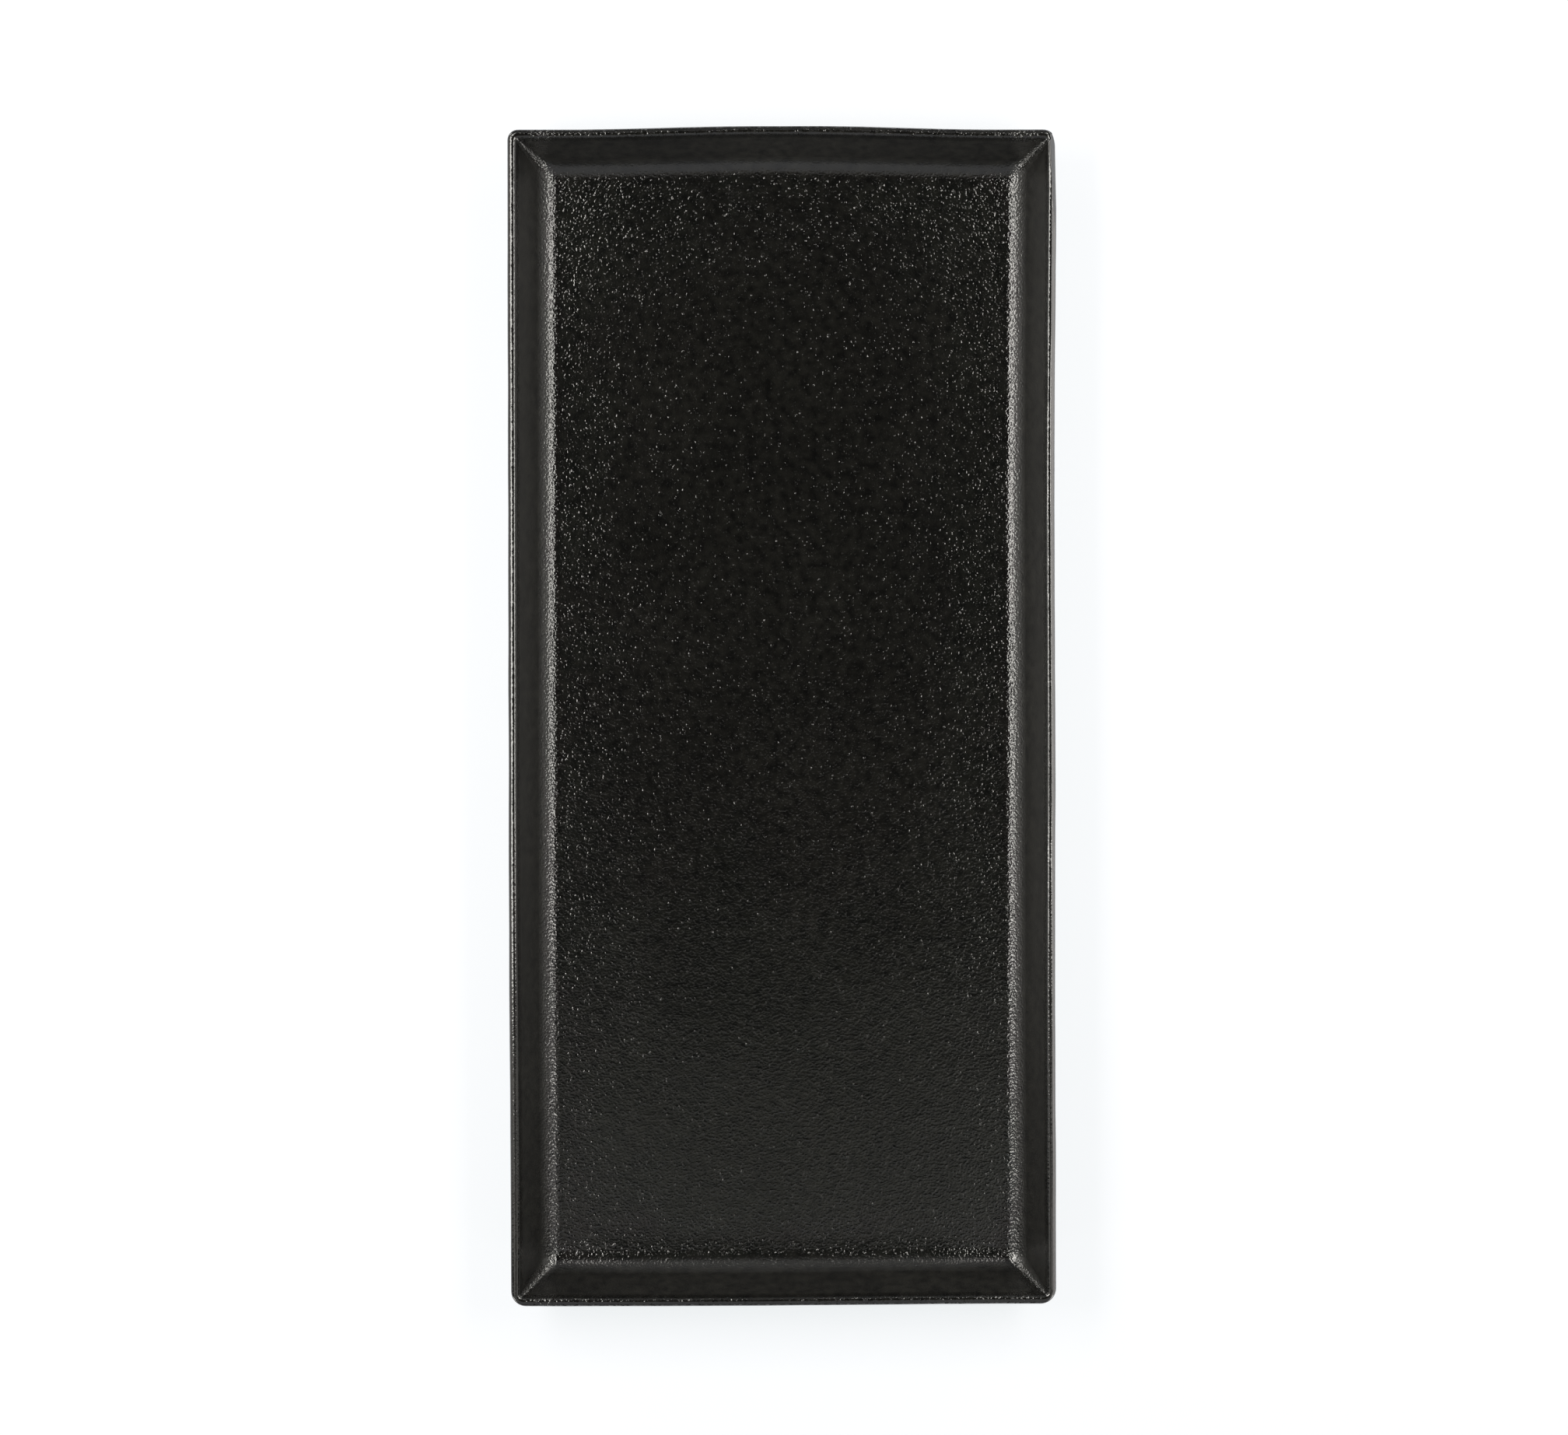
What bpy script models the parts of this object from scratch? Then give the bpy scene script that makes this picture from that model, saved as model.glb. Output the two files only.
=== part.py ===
"""A rectangular porcelain serving platter with a black glaze, cast in one piece.

A ring of points follows the platter's outline. It is lofted through the section of the
wall: from the edge of the flat well floor up the fillet and the sloping wall, over the
round lip, down the outside, round the base and over the foot. At every step the ring
takes the outline of that height, so its corners change from tight creases inside the
well to wide curves outside.
"""

import math

import bmesh
import bpy

# Outline, in metres
LENGTH = 0.3552  # between the straight stretches of the two ends
WIDTH = 0.1650
END_BOW = 0.0011  # how far the middle of the far end swells outwards
END_BOW_SPAN = 0.1320  # stretch of the far end that swells
OUTER_CORNER = 0.0055  # corner radius at the widest line of the lip

# Height and lip
HEIGHT = 0.0220  # from the table to the top of the lip
LIP_RADIUS = 0.0014

# Well
FLOOR_THICKNESS = 0.0040
WELL_SLOPE = math.radians(64)  # inner wall, measured up from the floor
WELL_FILLET = 0.0060  # hollow curve between the floor and the wall
WELL_CORNER = 0.0028  # corner radius of the wall just under the lip
FLOOR_CORNER = 0.0015  # corner radius of the flat floor

# Outside of the wall
OUTER_SLOPE = math.radians(66)  # steeper than the well, so the wall thickens downwards
BASE_ROUND = 0.0080  # rounding between the outer wall and the underside
BASE_CORNER = 0.0070  # corner radius where that rounding ends

# Foot
FOOT_HEIGHT = 0.0020
FOOT_INSET = 0.0030  # from the end of the base rounding to the foot
FOOT_WIDTH = 0.0035  # flat ring that stands on the table
FOOT_DRAFT = math.radians(25)  # lean of the foot's sides
FOOT_EDGE = 0.0006  # rounding of the foot's lower edges
FOOT_CORNER = 0.0030  # corner radius of the foot's inner side

# Fineness of the mesh
CORNER_STEPS = 6
END_STEPS = 14
SIDE_STEPS = 8
FILLET_STEPS = 6
LIP_STEPS = 4  # for each of the lip's inner, upper and under stretches
BASE_STEPS = 6
EDGE_STEPS = 3

# Finish
GLAZE_COLOUR = (0.010, 0.010, 0.009, 1.0)
GLAZE_ROUGHNESS = 0.35
BARE_COLOUR = (0.62, 0.58, 0.52, 1.0)
BARE_ROUGHNESS = 0.85
SHARP_ANGLE = math.radians(40)


def clear_scene():
    """Remove every object from the scene."""
    for old in list(bpy.data.objects):
        bpy.data.objects.remove(old, do_unlink=True)


def finish(name, colour, roughness):
    """A plain non-metallic material."""
    material = bpy.data.materials.new(name)
    material.use_nodes = True
    shader = material.node_tree.nodes["Principled BSDF"]
    shader.inputs["Base Color"].default_value = colour
    shader.inputs["Roughness"].default_value = roughness
    shader.inputs["Metallic"].default_value = 0.0
    return material


def mix(start, end, share):
    """The value that lies at a share of the way from start to end."""
    return start + (end - start) * share


def end_swell(x):
    """How far the far end stands out at a distance x from the platter's middle line."""
    if abs(x) >= END_BOW_SPAN / 2:
        return 0.0
    return END_BOW * math.cos(math.pi * x / END_BOW_SPAN) ** 2


def outline(inset, corner):
    """Points round the platter, drawn in from its widest line by inset."""
    middle_x = WIDTH / 2 - inset - corner
    middle_y = LENGTH / 2 - inset - corner
    corner_signs = ((1, 1), (-1, 1), (-1, -1), (1, -1))
    points = []
    for turn, (sign_x, sign_y) in enumerate(corner_signs):
        for step in range(CORNER_STEPS + 1):
            angle = (turn + step / CORNER_STEPS) * math.pi / 2
            x = sign_x * middle_x + corner * math.cos(angle)
            y = sign_y * middle_y + corner * math.sin(angle)
            points.append((x, y))
        along_end = turn % 2 == 0
        straight_steps = END_STEPS if along_end else SIDE_STEPS
        for step in range(1, straight_steps):
            share = step / straight_steps
            if along_end:
                points.append((sign_x * mix(middle_x, -middle_x, share), sign_y * (middle_y + corner)))
            else:
                points.append((sign_x * (middle_x + corner), sign_y * mix(middle_y, -middle_y, share)))
    swollen = []
    for x, y in points:
        swell = end_swell(x) if y > 0 else 0.0
        swollen.append((x, y + swell - END_BOW / 2))
    return swollen


def well_section():
    """Fillet and wall of the well, as (inset, height, corner radius), from the floor up."""
    floor_height = FOOT_HEIGHT + FLOOR_THICKNESS
    lip_height = HEIGHT - LIP_RADIUS
    centre_height = floor_height + WELL_FILLET
    reach = LIP_RADIUS + WELL_FILLET + math.cos(WELL_SLOPE) * (lip_height - centre_height)
    centre_inset = LIP_RADIUS + reach / math.sin(WELL_SLOPE)
    wall_top = lip_height + LIP_RADIUS * math.cos(WELL_SLOPE)
    section = []
    for step in range(FILLET_STEPS + 1):
        angle = WELL_SLOPE * step / FILLET_STEPS
        inset = centre_inset - WELL_FILLET * math.sin(angle)
        height = centre_height - WELL_FILLET * math.cos(angle)
        share = (height - floor_height) / (wall_top - floor_height)
        section.append((inset, height, mix(FLOOR_CORNER, WELL_CORNER, share)))
    return section


def lip_section():
    """The round lip, from the well's wall over its top and its widest line to the outer wall."""
    top = 0.0
    widest = -math.pi / 2
    stretches = ((WELL_SLOPE, top), (top, widest), (widest, OUTER_SLOPE - math.pi))
    angles = [WELL_SLOPE]
    for start, end in stretches:
        angles += [mix(start, end, step / LIP_STEPS) for step in range(1, LIP_STEPS + 1)]
    section = []
    for angle in angles:
        share = min(1.0, (WELL_SLOPE - angle) / (WELL_SLOPE - widest))
        inset = LIP_RADIUS + LIP_RADIUS * math.sin(angle)
        height = HEIGHT - LIP_RADIUS + LIP_RADIUS * math.cos(angle)
        section.append((inset, height, mix(WELL_CORNER, OUTER_CORNER, share)))
    return section


def base_section():
    """Rounding from the outer wall to the underside."""
    lip_height = HEIGHT - LIP_RADIUS
    centre_height = FOOT_HEIGHT + BASE_ROUND
    reach = BASE_ROUND - LIP_RADIUS + math.cos(OUTER_SLOPE) * (lip_height - centre_height)
    centre_inset = LIP_RADIUS + reach / math.sin(OUTER_SLOPE)
    section = []
    for step in range(BASE_STEPS + 1):
        angle = OUTER_SLOPE * (1 - step / BASE_STEPS)
        inset = centre_inset - BASE_ROUND * math.sin(angle)
        height = centre_height - BASE_ROUND * math.cos(angle)
        section.append((inset, height, mix(OUTER_CORNER, BASE_CORNER, inset / centre_inset)))
    return section


def foot_section(base_inset):
    """The foot: down its outer side, across the flat ring and up its inner side."""
    edge_start = math.pi / 2 - FOOT_DRAFT
    edge_run = FOOT_EDGE * math.sin(edge_start)
    edge_rise = FOOT_EDGE * (1 - math.cos(edge_start))
    side_run = (FOOT_HEIGHT - edge_rise) * math.tan(FOOT_DRAFT)
    outer_root = base_inset + FOOT_INSET
    flat_start = outer_root + side_run + edge_run
    flat_end = flat_start + FOOT_WIDTH
    inner_root = flat_end + edge_run + side_run
    outer_half = [(outer_root, FOOT_HEIGHT)]
    inner_half = [(inner_root, FOOT_HEIGHT)]
    for step in range(EDGE_STEPS + 1):
        angle = edge_start * (1 - step / EDGE_STEPS)
        run = FOOT_EDGE * math.sin(angle)
        height = FOOT_EDGE * (1 - math.cos(angle))
        outer_half.append((flat_start - run, height))
        inner_half.append((flat_end + run, height))
    profile = outer_half + inner_half[::-1]
    return [(inset, height, FOOT_CORNER + inner_root - inset) for inset, height in profile]


def loft(mesh, section):
    """Rings of vertices through the section, with faces between them and a cap at each end."""
    rings = []
    for inset, height, corner in section:
        rings.append([mesh.verts.new((x, y, height)) for x, y in outline(inset, corner)])
    count = len(rings[0])
    for lower, upper in zip(rings, rings[1:]):
        for i in range(count):
            following = (i + 1) % count
            mesh.faces.new((lower[i], lower[following], upper[following], upper[i]))
    mesh.faces.new(rings[0])
    mesh.faces.new(rings[-1])
    bmesh.ops.recalc_face_normals(mesh, faces=mesh.faces)


def build_platter(collection):
    """The whole platter: well, lip, outer wall and foot are one fired body."""
    base = base_section()
    section = well_section() + lip_section() + base + foot_section(base[-1][0])
    shape = bmesh.new()
    loft(shape, section)
    mesh = bpy.data.meshes.new("platter")
    shape.to_mesh(mesh)
    shape.free()
    mesh.shade_smooth()
    mesh.set_sharp_from_angle(angle=SHARP_ANGLE)
    mesh.materials.append(finish("black_glaze", GLAZE_COLOUR, GLAZE_ROUGHNESS))
    mesh.materials.append(finish("bare_porcelain", BARE_COLOUR, BARE_ROUGHNESS))
    for face in mesh.polygons:
        if face.center.z < FOOT_EDGE:
            face.material_index = 1
    platter = bpy.data.objects.new("platter", mesh)
    collection.objects.link(platter)
    return platter


clear_scene()
platter_collection = bpy.data.collections.new("porcelain_platter")
bpy.context.scene.collection.children.link(platter_collection)
build_platter(platter_collection)
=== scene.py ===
# %% [markdown]
# # A black porcelain platter
#
# The object is a long rectangular serving platter: one piece of porcelain, pressed in a mould and
# covered with a black satin glaze. It has a flat floor, four sloping walls that meet in creased
# corners, a round lip and, underneath, an unglazed foot ring. This lesson builds its visible model
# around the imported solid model, dresses it with a procedural glaze, and sets up the white studio and
# the overhead camera.

# %% Load the fixed frame
import math

import bmesh
import bpy
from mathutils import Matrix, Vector


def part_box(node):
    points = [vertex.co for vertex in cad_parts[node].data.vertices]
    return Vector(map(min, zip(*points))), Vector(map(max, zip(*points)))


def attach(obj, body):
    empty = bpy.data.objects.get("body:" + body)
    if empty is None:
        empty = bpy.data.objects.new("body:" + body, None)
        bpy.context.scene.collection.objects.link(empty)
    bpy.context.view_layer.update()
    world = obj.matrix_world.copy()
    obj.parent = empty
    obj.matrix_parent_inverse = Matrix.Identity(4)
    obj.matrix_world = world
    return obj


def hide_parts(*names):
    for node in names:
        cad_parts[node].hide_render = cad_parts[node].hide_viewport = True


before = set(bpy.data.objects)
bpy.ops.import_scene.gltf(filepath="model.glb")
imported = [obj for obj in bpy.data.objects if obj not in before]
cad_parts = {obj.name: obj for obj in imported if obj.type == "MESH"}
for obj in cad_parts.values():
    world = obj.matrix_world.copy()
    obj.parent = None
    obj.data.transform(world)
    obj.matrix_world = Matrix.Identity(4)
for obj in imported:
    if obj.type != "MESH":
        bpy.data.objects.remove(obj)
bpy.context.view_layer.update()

MM = 0.001
LOW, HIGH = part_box("platter")
print("solid platter, in mm:", [round((high - low) / MM, 2) for low, high in zip(LOW, HIGH)])

# %% [markdown]
# ## Sizes
#
# A platter is described by its outline and by the section of its wall. The outline is a rectangle whose
# far end bows out by about a millimetre, so the rectangle's own middle lies a little nearer to the viewer
# than the origin. It is measured from the solid, so that the two models always agree.

# %% Outline
WIDTH = HIGH[0] - LOW[0]
HEIGHT = HIGH[2]
FAR_BOW = 1.1 * MM
LENGTH = HIGH[1] - LOW[1] - FAR_BOW
MIDDLE_Y = LOW[1] + LENGTH / 2
CORNER_LEAD = (LENGTH - WIDTH) / 2


def half_sizes(inset):
    """Half the width and half the length of the outline, drawn in by inset."""
    return WIDTH / 2 - inset, LENGTH / 2 - inset


print("rectangle, in mm:", round(WIDTH / MM, 2), "x", round(LENGTH / MM, 2))

# %% [markdown]
# In the section of the wall, every curve is an arc that touches two straight lines, so it is enough to know
# where those straight lines run. An arc is then made by bevelling the edge in which they meet.

# %% Section of the wall
UNDERSIDE = 2.0 * MM
FLOOR = 6.0 * MM
LIP_RADIUS = 1.4 * MM
WELL_SLOPE = math.radians(64)
OUTER_SLOPE = math.radians(66)


def outer_inset(height):
    """How far the straight outer wall lies inside the widest line at a height."""
    run = (HEIGHT - LIP_RADIUS - height) / math.tan(OUTER_SLOPE)
    return LIP_RADIUS - LIP_RADIUS / math.sin(OUTER_SLOPE) + run


def well_inset(height):
    """How far the straight wall of the well lies inside the widest line at a height."""
    run = (HEIGHT - LIP_RADIUS - height) / math.tan(WELL_SLOPE)
    return LIP_RADIUS + LIP_RADIUS / math.sin(WELL_SLOPE) + run


print("wall at the underside, in mm:", round((well_inset(UNDERSIDE) - outer_inset(UNDERSIDE)) / MM, 2))

# %% [markdown]
# ## Camera
#
# The picture is taken from almost straight above, with the platter's far end at the top of the frame. The
# left and right edges draw together very slightly towards the bottom, so the camera stands a little to the
# far side and looks back. The focal length follows from the width of the frame at the height of the lip.

# %% Overhead camera
CAMERA_DISTANCE = 1.60
CAMERA_LEAN = math.radians(2.1)
FRAME_WIDTH = 473.0 * MM
AIM = (0.6 * MM, 0.3 * MM, HEIGHT)

camera_data = bpy.data.cameras.new("overhead_camera")
camera_data.sensor_fit = "HORIZONTAL"
camera_data.lens = camera_data.sensor_width * CAMERA_DISTANCE / FRAME_WIDTH
camera = bpy.data.objects.new("overhead_camera", camera_data)
bpy.context.scene.collection.objects.link(camera)
camera.location = (
    AIM[0],
    AIM[1] + CAMERA_DISTANCE * math.sin(CAMERA_LEAN),
    AIM[2] + CAMERA_DISTANCE * math.cos(CAMERA_LEAN),
)
camera.rotation_euler = (-CAMERA_LEAN, 0.0, 0.0)
bpy.context.scene.camera = camera
print("focal length, in mm:", round(camera_data.lens, 1))

# %% [markdown]
# ## Picking by place
#
# Edit-mode operators act on whatever is selected. By hand the edges would be clicked; in a script they are
# picked by a test on their place or on the faces beside them. The same small helper serves vertices, edges
# and faces.

# %% Selection helpers
TOUCH = 1e-6


def pick(piece, kind, test):
    """In edit mode, select the vertices, edges or faces that pass a test."""
    bpy.ops.mesh.select_mode(type=kind)
    bpy.ops.mesh.select_all(action="DESELECT")
    shape = bmesh.from_edit_mesh(piece.data)
    elements = {"VERT": shape.verts, "EDGE": shape.edges, "FACE": shape.faces}[kind]
    picked = [element for element in elements if test(element)]
    for element in picked:
        element.select_set(True)
    shape.select_flush_mode()
    bmesh.update_edit_mesh(piece.data)
    return len(picked)


def lies_at(height):
    """A test for edges that lie at a height."""
    return lambda edge: all(abs(vertex.co.z - height) < TOUCH for vertex in edge.verts)


def make_active(piece):
    """Select one object and make it the active one."""
    bpy.ops.object.select_all(action="DESELECT")
    piece.select_set(True)
    bpy.context.view_layer.objects.active = piece


bpy.ops.object.select_all(action="DESELECT")
print("nothing selected:", not bpy.context.selected_objects)

# %% [markdown]
# ## The moulded forms
#
# A pressed platter takes its outside from one half of a mould and its well from the other. Both start as
# the same kind of form: a block whose sides lean. A cube is given its size at the top, and its bottom is
# then scaled in, which keeps every side flat. Bevels round the corners and the lower edges, in an order
# that differs between the two forms.

# %% Leaning block
def leaning_block(name, top_inset, bottom_inset, top, bottom):
    """A block between two heights whose sides lean, left in edit mode."""
    top_sizes = half_sizes(top_inset)
    bottom_sizes = half_sizes(bottom_inset)
    bpy.ops.object.select_all(action="DESELECT")
    bpy.ops.mesh.primitive_cube_add(size=1, location=(0, MIDDLE_Y, (top + bottom) / 2))
    block = bpy.context.object
    block.name = name
    block.scale = (2 * top_sizes[0], 2 * top_sizes[1], top - bottom)
    bpy.ops.object.transform_apply(location=True, rotation=False, scale=True)
    bpy.ops.object.mode_set(mode="EDIT")
    pick(block, "VERT", lambda vertex: abs(vertex.co.z - bottom) < TOUCH)
    lean = (bottom_sizes[0] / top_sizes[0], bottom_sizes[1] / top_sizes[1], 1)
    bpy.ops.transform.resize(value=lean, center_override=(0, MIDDLE_Y, bottom))
    print(name, "at the top, in mm:", [round(2 * size / MM, 1) for size in top_sizes])
    return block


# %% [markdown]
# A corner of such a block is a chain of edges that runs down one diagonal of the outline, so it can be
# picked by its place, also when a bevel has already cut it into several edges. The forms are left open at
# the top, where they are joined later.

# %% Rounding and opening
CORNER_STEPS = 10
CURVE_STEPS = 8
ROUND_PROFILE = 0.5
LEVEL = 0.99


def bevel(reach, steps):
    """Round the selected edges; reach is how far the curve runs along each face."""
    bpy.ops.mesh.bevel(offset=reach, offset_type="OFFSET", segments=steps, profile=ROUND_PROFILE,
                       affect="EDGES", clamp_overlap=False, loop_slide=True)


def round_corner(block, side, end, radius):
    """Round the chain of edges that runs down one corner of a leaning block."""
    def on_corner(vertex):
        x = vertex.co.x * side
        y = (vertex.co.y - MIDDLE_Y) * end
        return x > 0 and y > 0 and abs(y - x - CORNER_LEAD) < TOUCH

    pick(block, "EDGE", lambda edge: all(on_corner(vertex) for vertex in edge.verts))
    bevel(radius, CORNER_STEPS)


def leave_open(block):
    """Take the level top face away and leave edit mode."""
    pick(block, "FACE", lambda face: face.normal.z > LEVEL)
    bpy.ops.mesh.delete(type="ONLY_FACE")
    bpy.ops.object.mode_set(mode="OBJECT")


def turn_inside_out(piece):
    """Make the faces of a shell look the other way."""
    make_active(piece)
    bpy.ops.object.mode_set(mode="EDIT")
    bpy.ops.mesh.select_all(action="SELECT")
    bpy.ops.mesh.flip_normals()
    bpy.ops.object.mode_set(mode="OBJECT")


print("a corner is rounded in", CORNER_STEPS, "steps, a long curve in", CURVE_STEPS)

# %% [markdown]
# ### Outside of the platter
#
# The outer wall leans out from a softly rounded base. Here the lower edges are bevelled first, so that
# their curves meet in a mitre, and each corner is then rounded from top to bottom, mitre included. On the
# real piece the corners were trued up by hand, and no two have quite the same radius: the far left one is
# the sharpest, the near right one the roundest.

# %% Outer form
BASE_ROUND = 8.0 * MM
OUTER_CORNERS = {(-1, 1): 2.9 * MM, (1, 1): 3.7 * MM, (-1, -1): 4.1 * MM, (1, -1): 4.3 * MM}

platter = leaning_block("porcelain_platter", outer_inset(HEIGHT), outer_inset(UNDERSIDE), HEIGHT, UNDERSIDE)
pick(platter, "EDGE", lies_at(UNDERSIDE))
bevel(BASE_ROUND * math.tan(OUTER_SLOPE / 2), CURVE_STEPS)
for (side, end), radius in OUTER_CORNERS.items():
    round_corner(platter, side, end, radius)
leave_open(platter)
print("outer form:", len(platter.data.polygons), "faces")

# %% [markdown]
# ### Well
#
# The well is the same form turned inside out: its faces look into the hollow. Its walls meet in creases
# that are tight at the rim and open towards the floor. So each corner is first rounded for the floor, and
# its points at the rim are then drawn together.

# %% Well block with tapered corners
FLOOR_CORNER = 4.6 * MM
WELL_CORNERS = {(-1, 1): 0.8 * MM, (1, 1): 1.2 * MM, (-1, -1): 1.0 * MM, (1, -1): 0.9 * MM}

well = leaning_block("well", well_inset(HEIGHT), well_inset(FLOOR), HEIGHT, FLOOR)
rim_x, rim_y = half_sizes(well_inset(HEIGHT))
for (side, end), radius in WELL_CORNERS.items():
    round_corner(well, side, end, FLOOR_CORNER)
    sharp = Vector((side * rim_x, MIDDLE_Y + end * rim_y, HEIGHT))
    drawn = pick(well, "VERT", lambda vertex: (vertex.co - sharp).length < 2 * FLOOR_CORNER)
    tighter = radius / FLOOR_CORNER
    bpy.ops.transform.resize(value=(tighter, tighter, 1), center_override=sharp)
    print("corner of", round(radius / MM, 1), "mm at the rim:", drawn, "points drawn together")

# %% [markdown]
# The curve between the floor and the walls comes last, so that it runs round the corners as well. It
# catches the brightest highlights of the whole piece, and gets enough steps to stay smooth.

# %% Curve round the floor
WELL_FILLET = 7.6 * MM

floor_edges = pick(well, "EDGE", lies_at(FLOOR))
bevel(WELL_FILLET * math.tan(WELL_SLOPE / 2), CURVE_STEPS)
leave_open(well)
turn_inside_out(well)
print("well form:", len(well.data.polygons), "faces, curved along", floor_edges, "edges")

# %% [markdown]
# ### Lip
#
# A full-round lip drains glaze evenly and is hard to chip. The two forms are joined into one mesh, and a
# bridge between their open rims makes a flat lip first.

# %% Join the forms
def join_into(piece, other):
    """Join another object into a piece and go into edit mode."""
    make_active(piece)
    other.select_set(True)
    bpy.ops.object.join()
    bpy.ops.object.mode_set(mode="EDIT")


join_into(platter, well)
rim_edges = pick(platter, "EDGE", lambda edge: edge.is_boundary)
bpy.ops.mesh.bridge_edge_loops(type="SINGLE")
print("bridged", rim_edges, "rim edges")

# %% [markdown]
# A bevel on each rim then rounds the lip: the sharp outer edge needs a longer reach than the blunt inner
# one, and the two curves almost meet on top. The rims are told apart by the walls that they border: the
# outer wall looks down, and the wall of the well looks up.

# %% Round the lip
LIP_STEPS_OUT = 8
LIP_STEPS_IN = 5
LIP_SHARE = 0.97
OUTER_WALL_LOOK = (-0.6, -0.2)
WELL_WALL_LOOK = (0.05, 0.95)


def pick_rim(look):
    """Select the edges of the flat lip that border the wall with this range of upward normals."""
    at_top = lies_at(HEIGHT)
    return pick(platter, "EDGE", lambda edge: at_top(edge) and any(
        look[0] < face.normal.z < look[1] for face in edge.link_faces))


outer_rim = pick_rim(OUTER_WALL_LOOK)
bevel(LIP_SHARE * LIP_RADIUS / math.tan(OUTER_SLOPE / 2), LIP_STEPS_OUT)
inner_rim = pick_rim(WELL_WALL_LOOK)
bevel(LIP_SHARE * LIP_RADIUS * math.tan(WELL_SLOPE / 2), LIP_STEPS_IN)
bpy.ops.object.mode_set(mode="OBJECT")
print("lip rounded along", outer_rim, "outer and", inner_rim, "inner edges")

# %% [markdown]
# ### Ground corner
#
# At the far right corner the lip is flat on its outside, as if it had been ground on a wheel before the
# glazing. A bisecting plane takes that sliver off and fills the cut, and a small bevel softens the ridge
# that it leaves.

# %% Grind the far right corner
GRIND_LEAN = math.radians(55)
GRIND_TURN = math.radians(3.6)
GRIND_DEPTH = 1.95 * MM
GRIND_SETBACK = 6 * MM
GRIND_RIDGE = (WIDTH / 2 - GRIND_DEPTH, MIDDLE_Y + LENGTH / 2 - GRIND_SETBACK, HEIGHT)
RIDGE_REACH = 0.35 * MM
RIDGE_STEPS = 3
SAME_WAY = 0.9999

facet = Vector((
    math.cos(GRIND_TURN) * math.sin(GRIND_LEAN),
    math.sin(GRIND_TURN) * math.sin(GRIND_LEAN),
    math.cos(GRIND_LEAN),
))


def on_facet(face):
    """Whether a face looks the way the grinding wheel left it."""
    return face.normal.dot(facet) > SAME_WAY


bpy.ops.object.mode_set(mode="EDIT")
bpy.ops.mesh.select_all(action="SELECT")
bpy.ops.mesh.bisect(plane_co=GRIND_RIDGE, plane_no=facet, clear_outer=True, use_fill=True)
ground_faces = pick(platter, "FACE", on_facet)
pick(platter, "EDGE", lambda edge: sum(on_facet(face) for face in edge.link_faces) == 1)
bevel(RIDGE_REACH, RIDGE_STEPS)
bpy.ops.object.mode_set(mode="OBJECT")
print("ground facets:", ground_faces)

# %% [markdown]
# ### Foot ring
#
# The platter stands on a low ring, set in from the base so that it hardly shows. It starts as two leaning
# shells, one inside the other, made in the same way as the moulded forms. The ring reaches a millimetre up
# into the body, where it will be melted in.

# %% Two shells of the foot
FOOT_OUTER_ROOT = 16.34 * MM
FOOT_INNER_ROOT = 22.46 * MM
FOOT_OUTER_CORNER = 9.0 * MM
FOOT_INNER_CORNER = 3.0 * MM
FOOT_DRAFT = math.radians(25)
FOOT_OVERLAP = 1.0 * MM
FOOT_TOP = UNDERSIDE + FOOT_OVERLAP


def foot_shell(name, root, lean, radius):
    """One open side of the foot ring; lean is positive where it draws in towards the table."""
    slide = math.tan(FOOT_DRAFT) * lean
    shell = leaning_block(name, root - FOOT_OVERLAP * slide, root + UNDERSIDE * slide, FOOT_TOP, 0.0)
    for side in (-1, 1):
        for end in (-1, 1):
            round_corner(shell, side, end, radius)
    pick(shell, "FACE", lambda face: abs(face.normal.z) > LEVEL)
    bpy.ops.mesh.delete(type="ONLY_FACE")
    bpy.ops.object.mode_set(mode="OBJECT")
    return shell


foot = foot_shell("foot", FOOT_OUTER_ROOT, 1, FOOT_OUTER_CORNER)
foot_inside = foot_shell("foot_inside", FOOT_INNER_ROOT, -1, FOOT_INNER_CORNER)
turn_inside_out(foot_inside)
print("shells:", len(foot.data.polygons), "and", len(foot_inside.data.polygons), "faces")

# %% [markdown]
# The shells are bridged at the bottom and at the top, as the lip was, which closes the ring. A small bevel
# takes the sharpness off the two edges on which it stands.

# %% Close the foot and round its edges
FOOT_EDGE_REACH = 0.38 * MM
FOOT_EDGE_STEPS = 4
STEEP = 0.9

join_into(foot, foot_inside)
for height in (0.0, FOOT_TOP):
    at_height = lies_at(height)
    pick(foot, "EDGE", lambda edge: edge.is_boundary and at_height(edge))
    bpy.ops.mesh.bridge_edge_loops(type="SINGLE")
on_table = lies_at(0.0)
pick(foot, "EDGE", lambda edge: on_table(edge) and any(
    abs(face.normal.z) < STEEP for face in edge.link_faces))
bevel(FOOT_EDGE_REACH, FOOT_EDGE_STEPS)
bpy.ops.object.mode_set(mode="OBJECT")
print("foot ring:", len(foot.data.polygons), "faces")

# %% [markdown]
# The real foot is one piece with the body. Joining the meshes would leave faces inside, so a Boolean
# modifier makes their union, which keeps a single closed skin.

# %% Melt the foot into the body
make_active(platter)
melt = platter.modifiers.new("melt_foot", "BOOLEAN")
melt.operation = "UNION"
melt.solver = "EXACT"
melt.object = foot
bpy.ops.object.modifier_apply(modifier=melt.name)
bpy.data.objects.remove(foot, do_unlink=True)
print("body with foot:", len(platter.data.polygons), "faces")

# %% [markdown]
# ### As it came out of the kiln
#
# Porcelain softens in the firing, and no platter leaves the kiln quite straight. Long faces can't bend, so
# the mesh is first cut across both ways by bisecting it, with closer cuts near the curve at the near end.

# %% Cut the long faces
CUT_STEP = 6.0 * MM
CUTS_ACROSS = 66 * MM
CUTS_ALONG = 160 * MM
NEAR_CUTS = (152, 155, 157, 159, 161, 162.4)  # mm from the middle


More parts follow.
